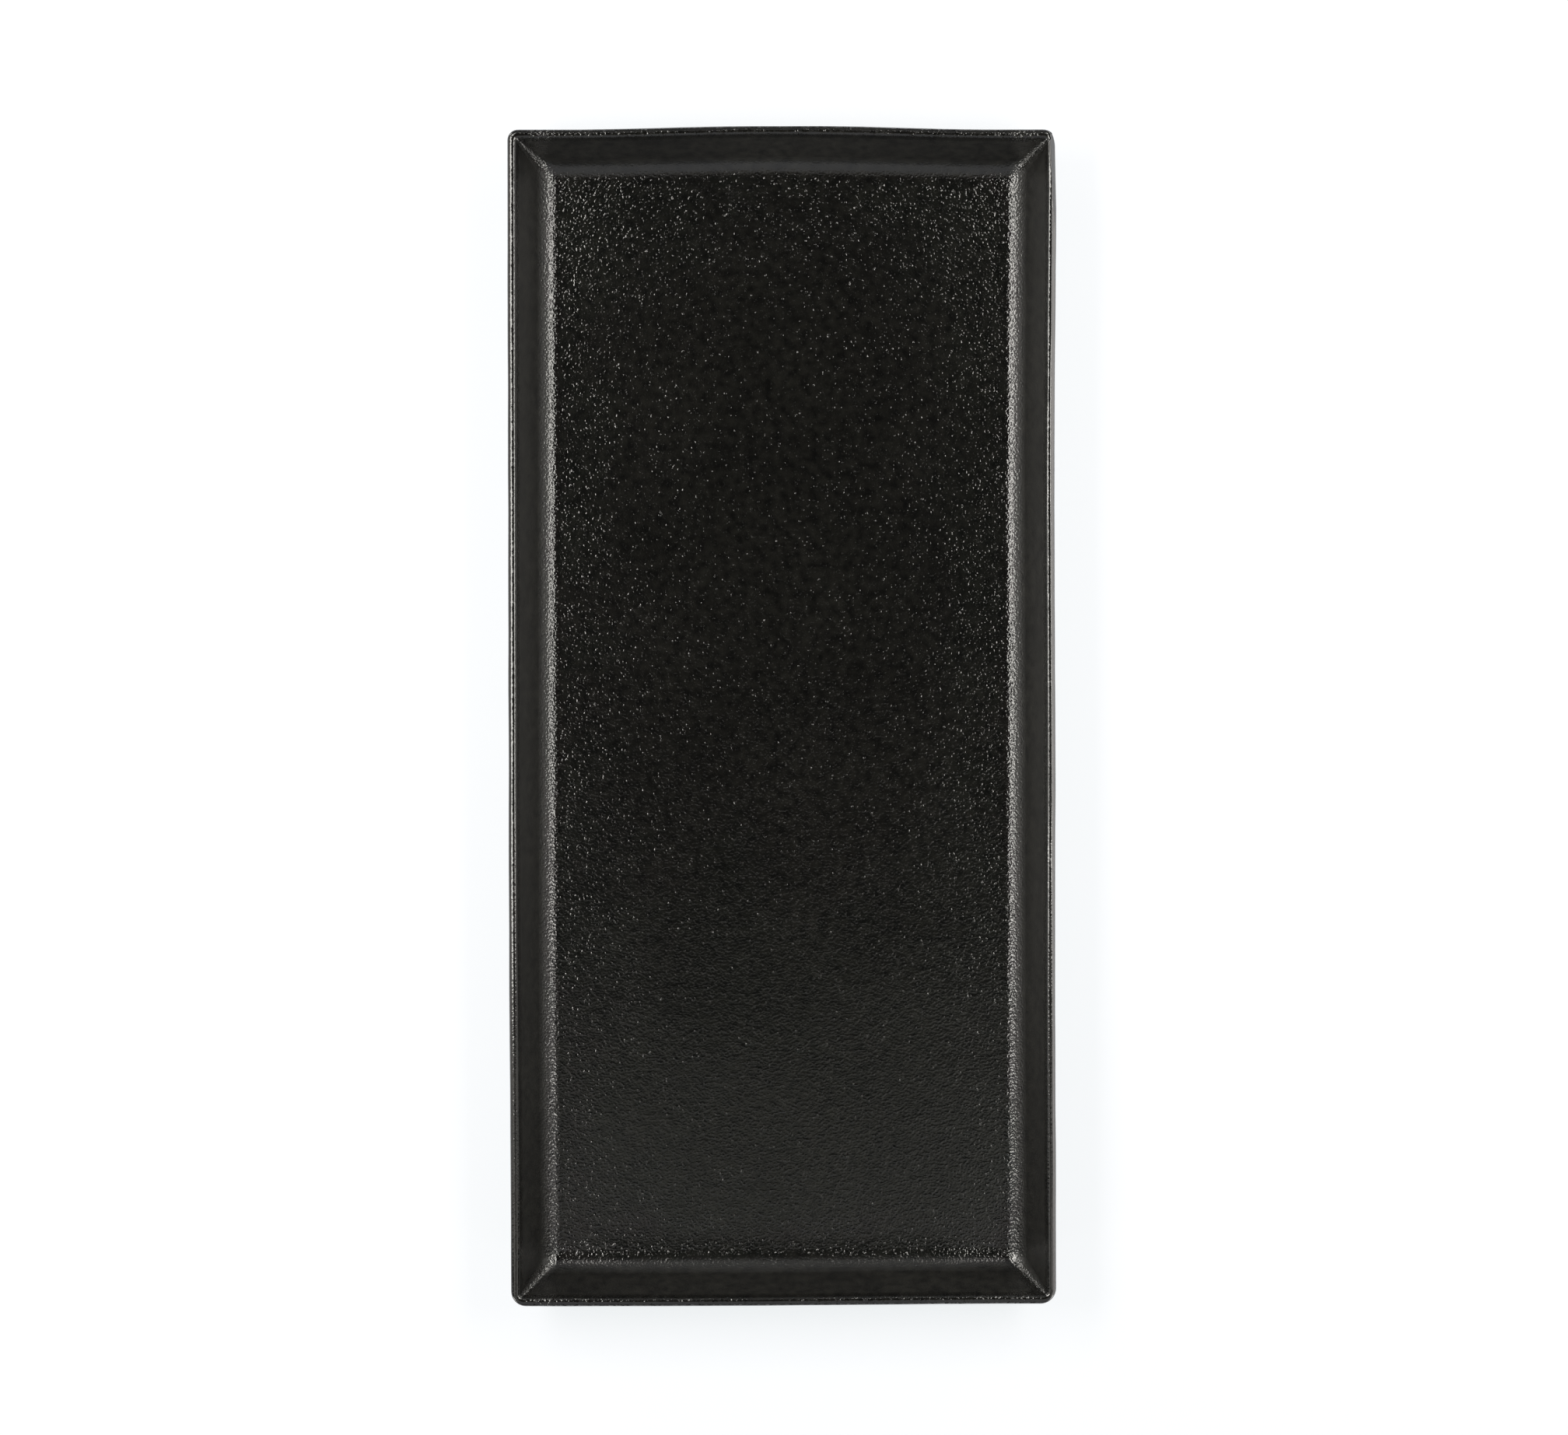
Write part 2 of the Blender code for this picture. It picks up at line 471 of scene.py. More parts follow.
def cut(axis, place):
    """Bisect the whole mesh with a plane square to an axis."""
    point = [0.0, 0.0, 0.0]
    normal = [0.0, 0.0, 0.0]
    point[axis] = place
    normal[axis] = 1.0
    bpy.ops.mesh.select_all(action="SELECT")
    bpy.ops.mesh.bisect(plane_co=point, plane_no=normal)


make_active(platter)
bpy.ops.object.mode_set(mode="EDIT")
for axis, middle, reach in ((0, 0.0, CUTS_ACROSS), (1, MIDDLE_Y, CUTS_ALONG)):
    count = round(2 * reach / CUT_STEP)
    for i in range(count + 1):
        cut(axis, middle - reach + 2 * reach * i / count)
for place in NEAR_CUTS:
    cut(1, MIDDLE_Y - place * MM)
bpy.ops.object.mode_set(mode="OBJECT")
print("after the cuts:", len(platter.data.polygons), "faces")

# %% [markdown]
# The far end bows out, both near corners have drawn to the right, and the right side has a faint waist. By
# hand these are pulls with proportional editing: the picked place moves, and what lies around it follows
# less and less.

# %% Pull the sides as the kiln did
PICK_REACH = 7 * MM
KILN_PULLS = (
    # place picked, reach of the pull, how far it moves
    ((0.0, LENGTH / 2), 60 * MM, (0.0, FAR_BOW, 0.0)),
    ((WIDTH / 2, -LENGTH / 2), 110 * MM, (0.5 * MM, 0.7 * MM, 0.0)),
    ((-WIDTH / 2, -LENGTH / 2), 130 * MM, (0.5 * MM, -0.1 * MM, 0.0)),
    ((WIDTH / 2, 76 * MM), 90 * MM, (-0.4 * MM, 0.0, 0.0)),
)


def pull(test, move, reach):
    """Move the picked points, and their neighbours within reach less and less."""
    picked = pick(platter, "VERT", test)
    bpy.ops.transform.translate(value=move, use_proportional_edit=True,
                                proportional_edit_falloff="SMOOTH", proportional_size=reach)
    print("pulled", picked, "points by", [round(value / MM, 2) for value in move], "mm")


bpy.ops.object.mode_set(mode="EDIT")
for (x, y), reach, move in KILN_PULLS:
    def near_place(vertex):
        return math.hypot(vertex.co.x - x, vertex.co.y - MIDDLE_Y - y) < PICK_REACH

    pull(near_place, move, reach)
bpy.ops.object.mode_set(mode="OBJECT")

# %% [markdown]
# Along the near end the foot of the curve stands a little too high, and the floor turns up towards it. It
# is little more than a third of a millimetre, but it bends the sheen there into the dark band that shows on
# the real piece.

# %% Raise the near edge of the floor
NEAR_EDGE_INSET = 12.0 * MM
NEAR_EDGE = MIDDLE_Y - LENGTH / 2 + NEAR_EDGE_INSET
NEAR_EDGE_BAND = 0.8 * MM
NEAR_EDGE_HALF_WIDTH = 58 * MM
NEAR_EDGE_RAISE = 0.36 * MM
NEAR_EDGE_REACH = 8 * MM


def on_near_edge(vertex):
    """Whether a point lies in the foot of the curve at the near end, away from the corners."""
    return (
        abs(vertex.co.y - NEAR_EDGE) < NEAR_EDGE_BAND
        and abs(vertex.co.x) < NEAR_EDGE_HALF_WIDTH
        and abs(vertex.co.z - FLOOR) < MM
    )


bpy.ops.object.mode_set(mode="EDIT")
pull(on_near_edge, (0.0, 0.0, NEAR_EDGE_RAISE), NEAR_EDGE_REACH)
bpy.ops.object.mode_set(mode="OBJECT")

# %% [markdown]
# A hand-glazed surface also has slow swells that make its highlights waver. A Displace modifier with a
# cloudy noise adds them. A vertex group keeps the foot ring out of it, so that the platter still stands
# flat.

# %% Slow swells in the glaze
SWELL_SIZE = 24 * MM
SWELL_DEPTH = 0.22 * MM
SWELL_START = 3.0 * MM

glazed = platter.vertex_groups.new(name="glazed_part")
above_foot = [vertex.index for vertex in platter.data.vertices if vertex.co.z > SWELL_START]
glazed.add(above_foot, 1.0, "REPLACE")
swell_noise = bpy.data.textures.new("slow_swells", "CLOUDS")
swell_noise.noise_scale = SWELL_SIZE
swell_noise.noise_depth = 1
make_active(platter)
swell = platter.modifiers.new("slow_swells", "DISPLACE")
swell.texture = swell_noise
swell.texture_coords = "LOCAL"
swell.strength = SWELL_DEPTH
swell.vertex_group = glazed.name
bpy.ops.object.modifier_apply(modifier=swell.name)
print("swells of", SWELL_DEPTH / MM, "mm on", len(above_foot), "points")

# %% [markdown]
# Smooth shading would tilt the level floor towards the curves beside it. Weighted normals keep large faces
# flat and let the small ones between them turn, which is what a drawn curve looks like.

# %% Smooth shading
SHARP_ANGLE = math.radians(40)

make_active(platter)
bpy.ops.object.shade_smooth_by_angle(angle=SHARP_ANGLE)
weights = platter.modifiers.new("flat_faces_stay_flat", "WEIGHTED_NORMAL")
weights.keep_sharp = True
bpy.ops.object.modifier_apply(modifier=weights.name)
print("platter:", sum(len(face.vertices) - 2 for face in platter.data.polygons), "triangles")

# %% [markdown]
# ## Finishes
#
# The glaze is a near-black satin glass over a faintly pebbled skin, and the foot is bare porcelain. Both
# have a grain and a faint cloudiness, so each of these effects is a node group, built once and placed in
# both materials with its own values. Small helpers add a node with its inputs set, a group with its
# sockets, and a material with its nodes.

# %% Node helpers
def add_node(tree, kind, values=()):
    """Add a node to a tree and set some of its inputs, given as (name, value) pairs."""
    node = tree.nodes.new(kind)
    for socket, value in values:
        node.inputs[socket].default_value = value
    return node


def new_group(name, inputs, output):
    """A shader node group with a place, some numbers going in and one number coming out."""
    group = bpy.data.node_groups.new(name, "ShaderNodeTree")
    group.interface.new_socket("Place", in_out="INPUT", socket_type="NodeSocketVector")
    for socket in inputs:
        group.interface.new_socket(socket, in_out="INPUT", socket_type="NodeSocketFloat")
    group.interface.new_socket(output, in_out="OUTPUT", socket_type="NodeSocketFloat")
    return group, group.nodes.new("NodeGroupInput").outputs, group.nodes.new("NodeGroupOutput").inputs


def new_material(name):
    """A material with nodes, and its node tree."""
    material = bpy.data.materials.new(name)
    material.use_nodes = True
    return material, material.node_tree


print("node groups so far:", len(bpy.data.node_groups))

# %% [markdown]
# ### Pebbled grain
#
# Seen closely the glaze is full of small rounded grains, each of which throws back a point of the lamps. A
# plain noise has as many hollows as hills. Raised to a power, it keeps its hills as rounded grains that
# stand up from a nearly even ground.

# %% Pebbled grain group
GRAIN_DETAIL = 1.0
GRAIN_SOFTNESS = 0.4
PEBBLE_POWER = 3.0

grain_group, grain_in, grain_out = new_group("pebbled_grain", ("Scale", "Strength"), "Height")
grain_noise = add_node(grain_group, "ShaderNodeTexNoise",
                       (("Detail", GRAIN_DETAIL), ("Roughness", GRAIN_SOFTNESS)))
pebbles = add_node(grain_group, "ShaderNodeMath", ((1, PEBBLE_POWER),))
pebbles.operation = "POWER"
grain_height = add_node(grain_group, "ShaderNodeMath")
grain_height.operation = "MULTIPLY"
grain_group.links.new(grain_in["Place"], grain_noise.inputs["Vector"])
grain_group.links.new(grain_in["Scale"], grain_noise.inputs["Scale"])
grain_group.links.new(grain_noise.outputs["Fac"], pebbles.inputs[0])
grain_group.links.new(pebbles.outputs["Value"], grain_height.inputs[0])
grain_group.links.new(grain_in["Strength"], grain_height.inputs[1])
grain_group.links.new(grain_height.outputs["Value"], grain_out["Height"])
print("group:", grain_group.name, "with", len(grain_group.nodes), "nodes")

# %% [markdown]
# ### Kiln clouds
#
# The colour of a fired surface drifts. A soft noise, spread between a least and a most share, gives a
# number to scale a colour by, or to choose between two colours.

# %% Kiln clouds group
CLOUD_DETAIL = 2.0
CLOUD_RANGE = (0.3, 0.7)

clouds_group, clouds_in, clouds_out = new_group("kiln_clouds", ("Scale", "Least", "Most"), "Share")
cloud_noise = add_node(clouds_group, "ShaderNodeTexNoise", (("Detail", CLOUD_DETAIL),))
cloud_spread = add_node(clouds_group, "ShaderNodeMapRange",
                        (("From Min", CLOUD_RANGE[0]), ("From Max", CLOUD_RANGE[1])))
clouds_group.links.new(clouds_in["Place"], cloud_noise.inputs["Vector"])
clouds_group.links.new(clouds_in["Scale"], cloud_noise.inputs["Scale"])
clouds_group.links.new(cloud_noise.outputs["Fac"], cloud_spread.inputs["Value"])
clouds_group.links.new(clouds_in["Least"], cloud_spread.inputs["To Min"])
clouds_group.links.new(clouds_in["Most"], cloud_spread.inputs["To Max"])
clouds_group.links.new(cloud_spread.outputs["Result"], clouds_out["Share"])
print("group:", clouds_group.name, "with", len(clouds_group.nodes), "nodes")

# %% [markdown]
# ### Black glaze
#
# Grain, gloss and colour change over the platter, with the height and with the distance along and across
# it: the floor is glossy and pebbled, the walls are duller and smoother, and the lip is glossy again. So
# the material starts from the object's own coordinates, which stay with the piece wherever it goes.

# %% Glaze material and its coordinates
GLAZE_IOR = 1.9

black_glaze, glaze = new_material("black_glaze")
platter.data.materials.clear()
platter.data.materials.append(black_glaze)
glaze_shader = glaze.nodes["Principled BSDF"]
glaze_shader.inputs["IOR"].default_value = GLAZE_IOR
glaze_place = add_node(glaze, "ShaderNodeTexCoord")
place_parts = add_node(glaze, "ShaderNodeSeparateXYZ")
glaze.links.new(glaze_place.outputs["Object"], place_parts.inputs["Vector"])
across = place_parts.outputs["X"]
along = place_parts.outputs["Y"]
up = place_parts.outputs["Z"]
print("glaze laid on", platter.name)

# %% [markdown]
# Such changes could be painted by hand on an image. Colour ramps on the coordinates do the same without
# one, and each can be read as a table. Math nodes combine them.

# %% Ramps and sums in the glaze
NEW_STOP = 0.5


def ramp(value, stops, unit=MM):
    """A colour ramp along a value; the places of its stops are in mm unless another unit is given."""
    first, last = stops[0][0], stops[-1][0]
    share = add_node(glaze, "ShaderNodeMapRange", (("From Min", first * unit), ("From Max", last * unit)))
    glaze.links.new(value, share.inputs["Value"])
    node = add_node(glaze, "ShaderNodeValToRGB")
    elements = node.color_ramp.elements
    while len(elements) < len(stops):
        elements.new(NEW_STOP)
    for element, (place, colour) in zip(elements, stops):
        element.position = (place - first) / (last - first)
        element.color = (*colour, 1.0)
    glaze.links.new(share.outputs["Result"], node.inputs["Fac"])
    return node.outputs["Color"]


def grey(rows, column=1):
    """Stops of a grey ramp from the places in a table's first column and the shares in another."""
    return [(row[0], (row[column],) * 3) for row in rows]


def calculate(operation, first, second=None):
    """A Math node on sockets or plain numbers."""
    node = add_node(glaze, "ShaderNodeMath")
    node.operation = operation
    for socket, value in zip(node.inputs, (first, second)):
        if isinstance(value, float):
            socket.default_value = value
        elif value is not None:
            glaze.links.new(value, socket)
    return node.outputs["Value"]


off_middle = calculate("ABSOLUTE", across)
print("glaze nodes so far:", len(glaze.nodes))

# %% [markdown]
# The grain is weaker where the glaze lies thick, in the middle of the floor and on the walls, and stronger
# on the curves along the sides and at the ends of the floor. Three ramps say how strong, and their product
# is the strength.

# %% Strength of the grain
GLAZE_BY_HEIGHT = (
    # height, strength of the grain, roughness, how much lighter the colour is painted as a sheen
    (0.0, 1.00, 0.16, 1.0),
    (6.3, 1.00, 0.135, 1.0),
    (7.4, 0.80, 0.22, 1.2),
    (9.2, 0.45, 0.34, 1.55),
    (19.4, 0.45, 0.34, 1.55),
    (20.6, 0.80, 0.12, 1.0),
    (22.0, 0.80, 0.12, 1.0),
)
ROUGHNESS_COLUMN = 2
SHEEN_COLUMN = 3
GRAIN_ACROSS = (
    # distance from the middle line, share of the grain
    (0.0, 0.62), (40.0, 0.62), (62.0, 0.68), (68.1, 0.72),
    (70.1, 1.3), (73.7, 1.2), (78.0, 0.3), (82.5, 0.3),
)
GRAIN_ALONG = (
    # place along the platter, share of the grain
    (-178.0, 0.85), (-174.0, 0.85), (-170.0, 0.42), (-165.6, 0.42),
    (-164.2, 0.85), (-161.6, 0.76), (-159.8, 0.63), (-120.0, 0.53),
    (120.0, 0.53), (163.0, 0.66), (166.0, 0.5), (171.0, 0.4), (174.0, 0.85), (178.0, 0.85),
)

grain_share = ramp(up, grey(GLAZE_BY_HEIGHT))
for value, shares in ((off_middle, GRAIN_ACROSS), (along, GRAIN_ALONG)):
    grain_share = calculate("MULTIPLY", grain_share, ramp(value, grey(shares)))
print("grain described by", len(GLAZE_BY_HEIGHT) + len(GRAIN_ACROSS) + len(GRAIN_ALONG), "stops")

# %% [markdown]
# In the corner creases the glaze has gathered: they are grainier and glossier than the walls beside them.
# A point lies in a crease if its distances from the two middle lines differ by just as much as a corner's
# do.

# %% Creases
GRAIN_OFF_CREASE = ((0.0, 0.5), (1.2, 0.5), (3.0, 0.0))
CREASE_BY_HEIGHT = ((6.2, 0.0), (7.0, 1.0), (20.0, 1.0), (21.0, 0.0))

from_middle = calculate("ABSOLUTE", calculate("SUBTRACT", along, MIDDLE_Y))
lead = calculate("SUBTRACT", from_middle, off_middle)
off_crease = calculate("ABSOLUTE", calculate("SUBTRACT", lead, CORNER_LEAD))
in_crease = calculate("MULTIPLY", ramp(off_crease, grey(GRAIN_OFF_CREASE)), ramp(up, grey(CREASE_BY_HEIGHT)))
grain_share = calculate("MAXIMUM", grain_share, in_crease)
print("creases fade out", GRAIN_OFF_CREASE[-1][0], "mm from the diagonals")

# %% [markdown]
# Only now is the grain itself placed. A Bump node turns its height into a tilt of the surface, which is
# enough for grains of less than a millimetre.

# %% Grain and gloss
GRAIN_SCALE = 1400.0
GRAIN_DEPTH = 0.47 * MM
CREASE_GLOSS = 0.4

grain = add_node(glaze, "ShaderNodeGroup")
grain.node_tree = grain_group
grain.inputs["Scale"].default_value = GRAIN_SCALE
grain_bump = add_node(glaze, "ShaderNodeBump", (("Distance", GRAIN_DEPTH),))
glaze.links.new(glaze_place.outputs["Object"], grain.inputs["Place"])
glaze.links.new(grain_share, grain.inputs["Strength"])
glaze.links.new(grain.outputs["Height"], grain_bump.inputs["Height"])
glaze.links.new(grain_bump.outputs["Normal"], glaze_shader.inputs["Normal"])

duller = ramp(up, grey(GLAZE_BY_HEIGHT, ROUGHNESS_COLUMN))
roughness = calculate("SUBTRACT", duller, calculate("MULTIPLY", in_crease, CREASE_GLOSS))
glaze.links.new(roughness, glaze_shader.inputs["Roughness"])
print("grain of", round(1 / GRAIN_SCALE / MM, 2), "mm,", round(GRAIN_DEPTH / MM, 2), "mm deep")

# %% [markdown]
# The colour is nearly black, and painted a little lighter on the upper curve round the floor and on the
# walls as a painted sheen.
# Slow clouds and a fine mottle scale it, each a copy of the clouds group with its own scale.

# %% Colour of the glaze
GLAZE_COLOUR = (0.0062, 0.0060, 0.0050)
GLAZE_CLOUDS = (
    # scale, least and most share of the colour
    (28.0, 0.8, 1.2),
    (360.0, 0.4, 1.6),
)

# painted sheen: the colour is made lighter on the walls and the upper curve, standing in for light that they
# catch
painted_sheen_stops = [
    (row[0], tuple(row[SHEEN_COLUMN] * value for value in GLAZE_COLOUR)) for row in GLAZE_BY_HEIGHT
]
glaze_colour = ramp(up, painted_sheen_stops)
for scale, least, most in GLAZE_CLOUDS:
    clouds = add_node(glaze, "ShaderNodeGroup")
    clouds.node_tree = clouds_group
    clouds.inputs["Scale"].default_value = scale
    clouds.inputs["Least"].default_value = least
    clouds.inputs["Most"].default_value = most
    clouded = add_node(glaze, "ShaderNodeVectorMath")
    clouded.operation = "SCALE"
    glaze.links.new(glaze_place.outputs["Object"], clouds.inputs["Place"])
    glaze.links.new(glaze_colour, clouded.inputs[0])
    glaze.links.new(clouds.outputs["Share"], clouded.inputs["Scale"])
    glaze_colour = clouded.outputs["Vector"]
print("colour clouded", len(GLAZE_CLOUDS), "times")

# %% [markdown]
# Along the right rim the outer half of the lip shows a smooth grey band, a painted reflection of the bright
# table beside it.
# The mask of that band follows the way the surface faces, its height, and its place across and along
# the platter, so that nothing else turns grey.

# %% Painted reflection on the right rim
REFLECTION_BY_TURN = ((0.2, 0.0), (0.42, 1.0), (0.6, 0.7), (0.78, 0.25), (0.95, 0.0))
REFLECTION_BY_HEIGHT = ((19.0, 0.0), (20.4, 1.0))
REFLECTION_ACROSS = ((70.0, 0.0), (78.0, 1.0))
REFLECTION_ALONG = ((-178.0, 1.0), (150.0, 1.0), (168.0, 0.4))
# grey of the painted reflection along the outer half of the right lip
REFLECTION_COLOUR = (0.25, 0.245, 0.25, 1.0)

facing = add_node(glaze, "ShaderNodeSeparateXYZ")
glaze.links.new(glaze_place.outputs["Normal"], facing.inputs["Vector"])
painted_reflection = ramp(facing.outputs["X"], grey(REFLECTION_BY_TURN), 1.0)
for value, shares in ((up, REFLECTION_BY_HEIGHT), (across, REFLECTION_ACROSS), (along, REFLECTION_ALONG)):
    painted_reflection = calculate("MULTIPLY", painted_reflection, ramp(value, grey(shares)))
reflection_mix = glaze.nodes.new("ShaderNodeMix")
reflection_mix.data_type = "RGBA"
reflection_mix.inputs["B"].default_value = REFLECTION_COLOUR
glaze.links.new(painted_reflection, reflection_mix.inputs["Factor"])
glaze.links.new(glaze_colour, reflection_mix.inputs["A"])
glaze.links.new(reflection_mix.outputs["Result"], glaze_shader.inputs["Base Color"])
print("glaze nodes in all:", len(glaze.nodes))

# %% [markdown]
# ### Bare porcelain
#
# The foot stands in the kiln on a bare shelf, so it can't be glazed: its glaze is wiped off before the
# firing and the body shows. It is dull and faintly gritty, with a finer grain than the glaze from the same
# group.

# %% Bare porcelain material
BARE_ROUGHNESS = 0.8
GRIT_SCALE = 2600.0
GRIT_DEPTH = 0.05 * MM

bare_porcelain, bare = new_material("bare_porcelain")
bare_shader = bare.nodes["Principled BSDF"]
bare_shader.inputs["Roughness"].default_value = BARE_ROUGHNESS
bare_place = add_node(bare, "ShaderNodeTexCoord")
grit = add_node(bare, "ShaderNodeGroup")
grit.node_tree = grain_group
grit.inputs["Scale"].default_value = GRIT_SCALE
grit.inputs["Strength"].default_value = 1.0
grit_bump = add_node(bare, "ShaderNodeBump", (("Distance", GRIT_DEPTH),))
bare.links.new(bare_place.outputs["Object"], grit.inputs["Place"])
bare.links.new(grit.outputs["Height"], grit_bump.inputs["Height"])
bare.links.new(grit_bump.outputs["Normal"], bare_shader.inputs["Normal"])
print("grit of", round(1 / GRIT_SCALE / MM, 2), "mm")

# %% [markdown]
# Fired porcelain without glaze is cream-coloured and takes up darker stains. The clouds group chooses
# between the two colours.

# %% Stains of the bare foot
STAIN_SCALE = 90.0
CREAM = (0.66, 0.62, 0.55, 1.0)
STAINED = (0.52, 0.47, 0.40, 1.0)

stains = add_node(bare, "ShaderNodeGroup")
stains.node_tree = clouds_group
stains.inputs["Scale"].default_value = STAIN_SCALE
stains.inputs["Least"].default_value = 0.0
stains.inputs["Most"].default_value = 1.0
body_colour = add_node(bare, "ShaderNodeValToRGB")
body_colour.color_ramp.elements[0].color = CREAM
body_colour.color_ramp.elements[1].color = STAINED
bare.links.new(bare_place.outputs["Object"], stains.inputs["Place"])
bare.links.new(stains.outputs["Share"], body_colour.inputs["Fac"])
bare.links.new(body_colour.outputs["Color"], bare_shader.inputs["Base Color"])
print("stains of", round(1 / STAIN_SCALE / MM, 1), "mm")

# %% [markdown]
# The bare porcelain goes on the faces that touch the shelf, which are picked by their height.

# %% Wipe the glaze off the foot
BARE_TOP = 0.6 * MM
BARE_SLOT = 1

platter.data.materials.append(bare_porcelain)
bare_faces = 0
for face in platter.data.polygons:
    if face.center.z < BARE_TOP:
        face.material_index = BARE_SLOT
        bare_faces += 1
print("bare faces on the foot:", bare_faces)

# %% [markdown]
# ## Studio
#
# The platter lies on a white table that runs up into a low white cove. A big filled circle makes the table,
# and its rim, extruded upwards and outwards in a few steps, makes the cove.

# %% Table and cove
TABLE_RADIUS = 4.0
TABLE_SIDES = 96
COVE_STEPS = ((0.12, 0.02), (0.10, 0.05), (0.06, 0.09), (0.02, 0.12))

bpy.ops.object.select_all(action="DESELECT")
bpy.ops.mesh.primitive_circle_add(vertices=TABLE_SIDES, radius=TABLE_RADIUS, fill_type="NGON")
table = bpy.context.object
table.name = "white_table_and_cove"
bpy.ops.object.mode_set(mode="EDIT")
radius = TABLE_RADIUS
for out, rise in COVE_STEPS:
    pick(table, "EDGE", lambda edge: edge.is_boundary)
    bpy.ops.mesh.extrude_edges_move(TRANSFORM_OT_translate={"value": (0.0, 0.0, rise)})
    grow = (radius + out) / radius
    bpy.ops.transform.resize(value=(grow, grow, 1), center_override=(0, 0, 0))
    radius += out
bpy.ops.object.mode_set(mode="OBJECT")
bpy.ops.object.shade_smooth_by_angle(angle=SHARP_ANGLE)
print("table and cove:", len(table.data.polygons), "faces")

# %% [markdown]
# A white studio table looks almost burnt out. Lamps that strong would spoil the platter, so the table glows
# by itself, but only to the camera and in reflections, and a part of its white is paper that takes the
# platter's shadow. For the light that falls on the platter it is a plain pale floor.

# %% White table finish
TABLE_GLOW = (0.75, 0.785, 0.79, 1.0)
TABLE_WHITE = (0.29, 0.27, 0.295, 1.0)
TABLE_PLAIN = (0.8, 0.8, 0.8, 1.0)

white_table, table_tree = new_material("white_table")
table.data.materials.append(white_table)
table_tree.nodes.remove(table_tree.nodes["Principled BSDF"])
path = add_node(table_tree, "ShaderNodeLightPath")
seen = path.outputs["Is Camera Ray"]
for ray in ("Is Glossy Ray", "Is Transmission Ray"):
    either = add_node(table_tree, "ShaderNodeMath")
    either.operation = "ADD"
    either.use_clamp = True
    table_tree.links.new(seen, either.inputs[0])
    table_tree.links.new(path.outputs[ray], either.inputs[1])
    seen = either.outputs["Value"]
glow = add_node(table_tree, "ShaderNodeEmission", (("Color", TABLE_GLOW),))
paper = add_node(table_tree, "ShaderNodeBsdfDiffuse", (("Color", TABLE_WHITE),))
plain = add_node(table_tree, "ShaderNodeBsdfDiffuse", (("Color", TABLE_PLAIN),))
glowing_paper = add_node(table_tree, "ShaderNodeAddShader")
which = add_node(table_tree, "ShaderNodeMixShader")
table_tree.links.new(glow.outputs["Emission"], glowing_paper.inputs[0])
table_tree.links.new(paper.outputs["BSDF"], glowing_paper.inputs[1])
table_tree.links.new(seen, which.inputs["Fac"])
table_tree.links.new(plain.outputs["BSDF"], which.inputs[1])
table_tree.links.new(glowing_paper.outputs["Shader"], which.inputs[2])
table_tree.links.new(which.outputs["Shader"], table_tree.nodes["Material Output"].inputs["Surface"])
print("table finish:", len(table_tree.nodes), "nodes")

# %% [markdown]
# ### Lamps
#
# A black glossy piece shows little but the lamps it mirrors, so each highlight is placed by asking where a
# mirror at that spot would look. A long soft box on either side draws the bright line along the floor's
# curve, a dimmer end carries it on towards the viewer, and a broad dim skirt below lights the walls. Small
# lamps at the far end make the grain sparkle there, and four more light the corners and their creases.

# %% Soft boxes at the sides and corners
WARM = (1.0, 0.975, 0.92)
ORIGIN = (0.0, 0.0, 0.0)
SOFT_BOXES = (
    # name, place, point that it faces, length and width, brightness
    ("left_soft_box", (-0.332, 0.133, 0.52), (0.0, 0.133, 0.0), (0.534, 0.17), 7.2),
    ("right_soft_box", (0.332, 0.145, 0.52), (0.0, 0.145, 0.0), (0.51, 0.17), 5.9),
    ("left_soft_box_end", (-0.332, -0.28, 0.52), (0.0, -0.28, 0.0), (0.24, 0.17), 0.5),
    ("right_soft_box_end", (0.332, -0.28, 0.52), (0.0, -0.28, 0.0), (0.24, 0.17), 0.5),
    ("left_skirt", (-0.52, 0.135, 0.28), (-0.05, 0.135, 0.0), (0.73, 0.45), 0.58),
    ("right_skirt", (0.52, 0.135, 0.28), (0.05, 0.135, 0.0), (0.73, 0.45), 0.47),
    ("far_left_lamp", (-0.20, 0.35, 0.50), ORIGIN, (0.12, 0.08), 3.7),
    ("far_right_lamp", (0.20, 0.35, 0.50), ORIGIN, (0.12, 0.08), 3.7),
    ("far_left_corner", (-0.60, 0.60, 0.20), ORIGIN, (0.22, 0.28), 4.2),
    ("far_right_corner", (0.60, 0.60, 0.20), ORIGIN, (0.22, 0.28), 4.2),
    ("near_left_corner", (-0.60, -0.60, 0.20), ORIGIN, (0.22, 0.28), 5.0),
    ("near_right_corner", (0.60, -0.60, 0.20), ORIGIN, (0.22, 0.28), 5.0),
)


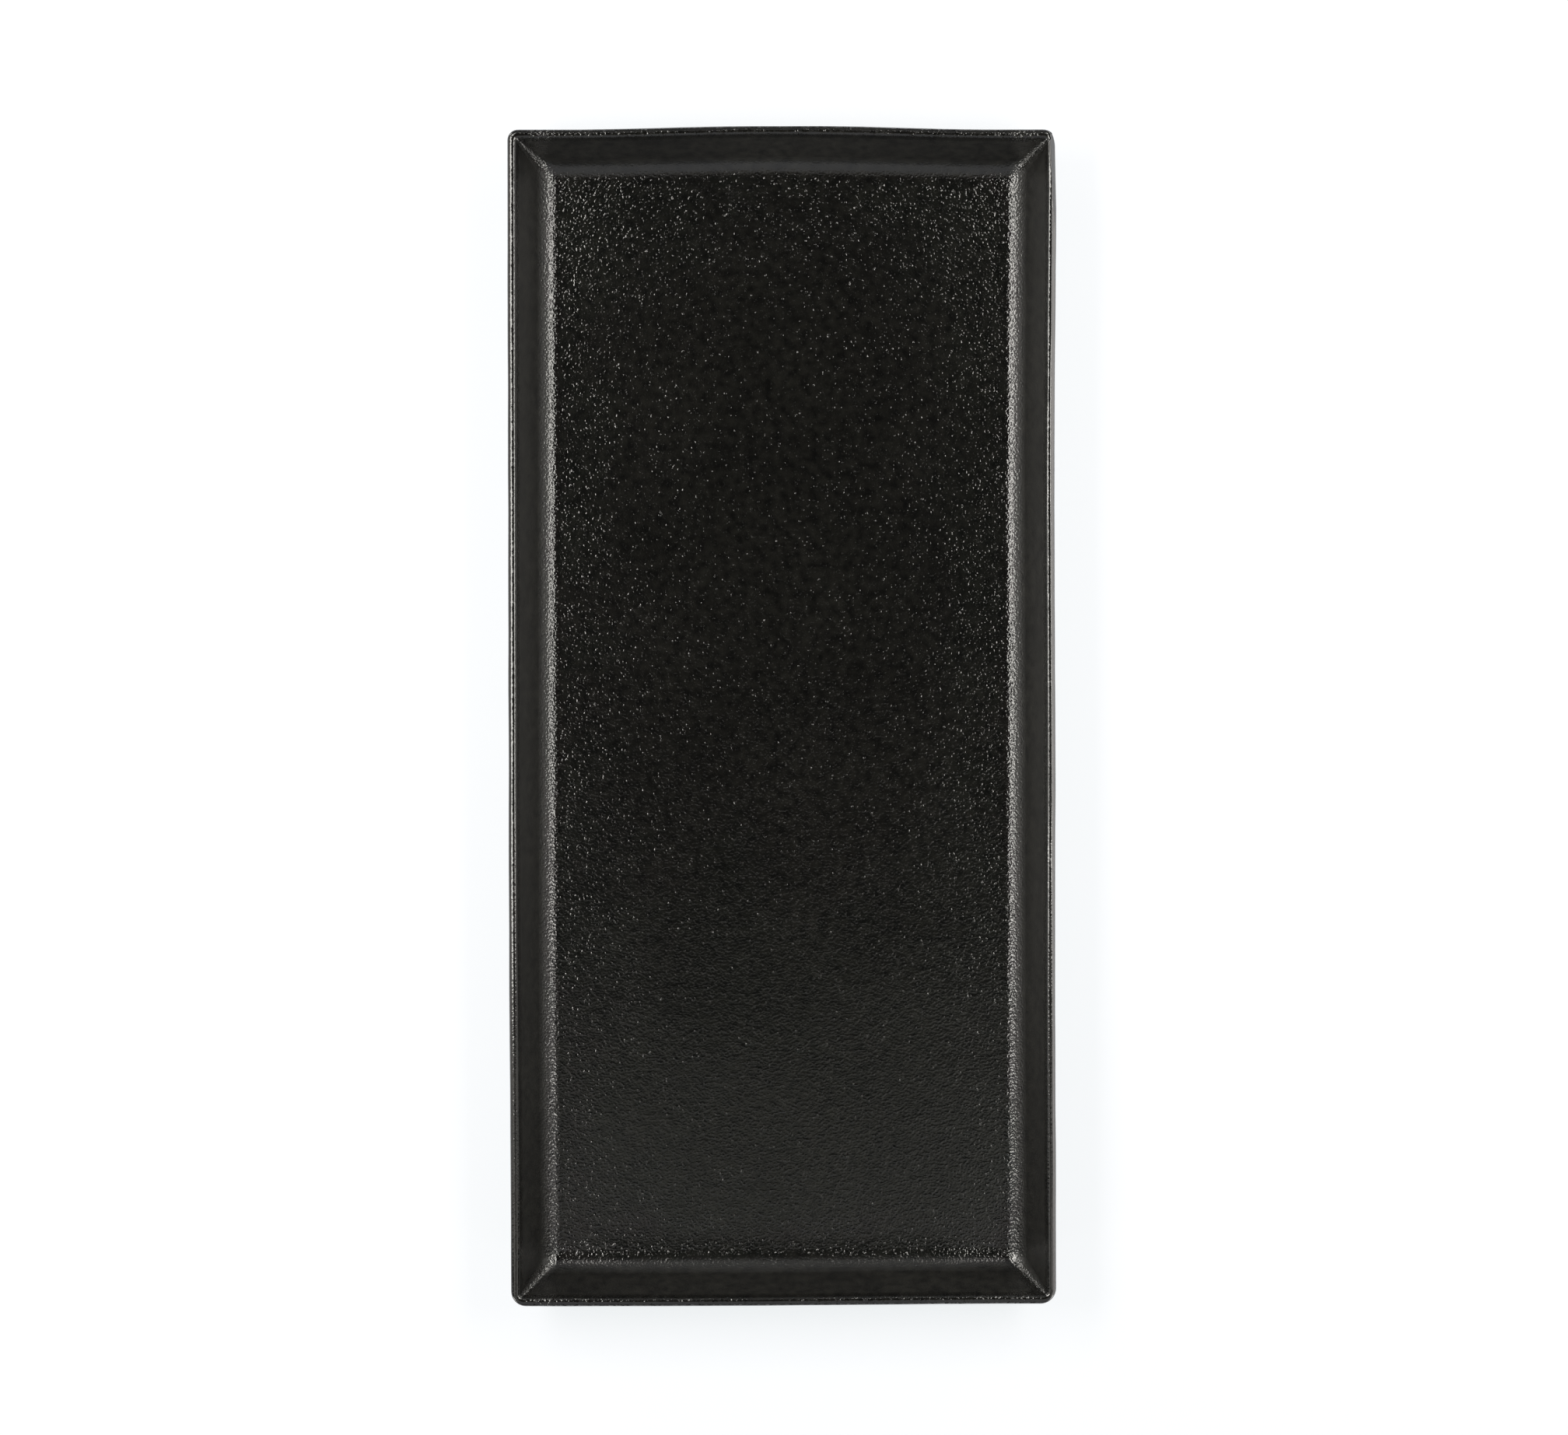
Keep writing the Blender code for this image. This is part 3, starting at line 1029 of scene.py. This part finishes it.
def soft_box(name, place, aim, size, brightness, tint):
    """A rectangular lamp that faces a point; its power follows from its brightness and size."""
    lamp_data = bpy.data.lights.new(name, "AREA")
    lamp_data.shape = "RECTANGLE"
    lamp_data.size, lamp_data.size_y = size
    lamp_data.energy = brightness * math.pi * size[0] * size[1]
    lamp_data.color = tint
    lamp = bpy.data.objects.new(name, lamp_data)
    bpy.context.scene.collection.objects.link(lamp)
    lamp.location = place
    lamp.rotation_euler = (Vector(place) - Vector(aim)).to_track_quat("Z", "Y").to_euler()
    lamp.visible_camera = False
    print(name, "power", round(lamp_data.energy, 2), "W")


for name, place, aim, size, brightness in SOFT_BOXES:
    soft_box(name, place, aim, size, brightness, WARM)

# %% [markdown]
# Dim screens lie across the table at both ends. The near ones lay a sheen on the near part of the floor,
# stronger towards its sides, and light the far wall; the far one lights the near wall. Nothing bright hangs
# above, so the middle of the floor stays dark.

# %% Screens at the ends
COOL = (0.95, 0.965, 1.0)
WHITE = (1.0, 1.0, 1.0)
SCREENS = (
    # name, (y, z) of the upper and of the lower edge, x of the middle, width, brightness, tint
    ("near_left_screen", (-0.20, 0.80), (-0.40, 0.74), -0.265, 0.40, 0.145, WARM),
    ("near_right_screen", (-0.20, 0.80), (-0.40, 0.74), 0.265, 0.40, 0.215, WARM),
    ("near_screen_top", (-0.175, 0.80), (-0.40, 0.74), 0.0, 1.6, 0.132, WARM),
    ("near_screen", (-0.40, 0.74), (-0.95, 0.30), 0.0, 1.6, 0.34, COOL),
    ("far_screen", (0.42, 0.80), (1.0, 0.30), 0.0, 1.6, 0.165, WHITE),
)

for name, upper, lower, x, width, brightness, tint in SCREENS:
    middle_y = (upper[0] + lower[0]) / 2
    middle_z = (upper[1] + lower[1]) / 2
    run = lower[0] - upper[0]
    drop = lower[1] - upper[1]
    towards = -1 if run > 0 else 1
    aim = (x, middle_y - towards * drop, middle_z + towards * run)
    soft_box(name, (x, middle_y, middle_z), aim, (width, math.hypot(run, drop)), brightness, tint)

# %% [markdown]
# What no lamp or screen fills is the room itself, which is nearly dark.

# %% World
ROOM = (0.012, 0.012, 0.013, 1.0)

world = bpy.data.worlds.new("studio")
world.use_nodes = True
world.node_tree.nodes["Background"].inputs["Color"].default_value = ROOM
bpy.context.scene.world = world
bpy.context.scene.view_settings.view_transform = "Standard"
print("room:", world.name, "seen through", bpy.context.scene.view_settings.view_transform)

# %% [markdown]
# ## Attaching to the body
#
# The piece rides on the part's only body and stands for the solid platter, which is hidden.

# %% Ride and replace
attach(platter, "root")
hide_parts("platter")
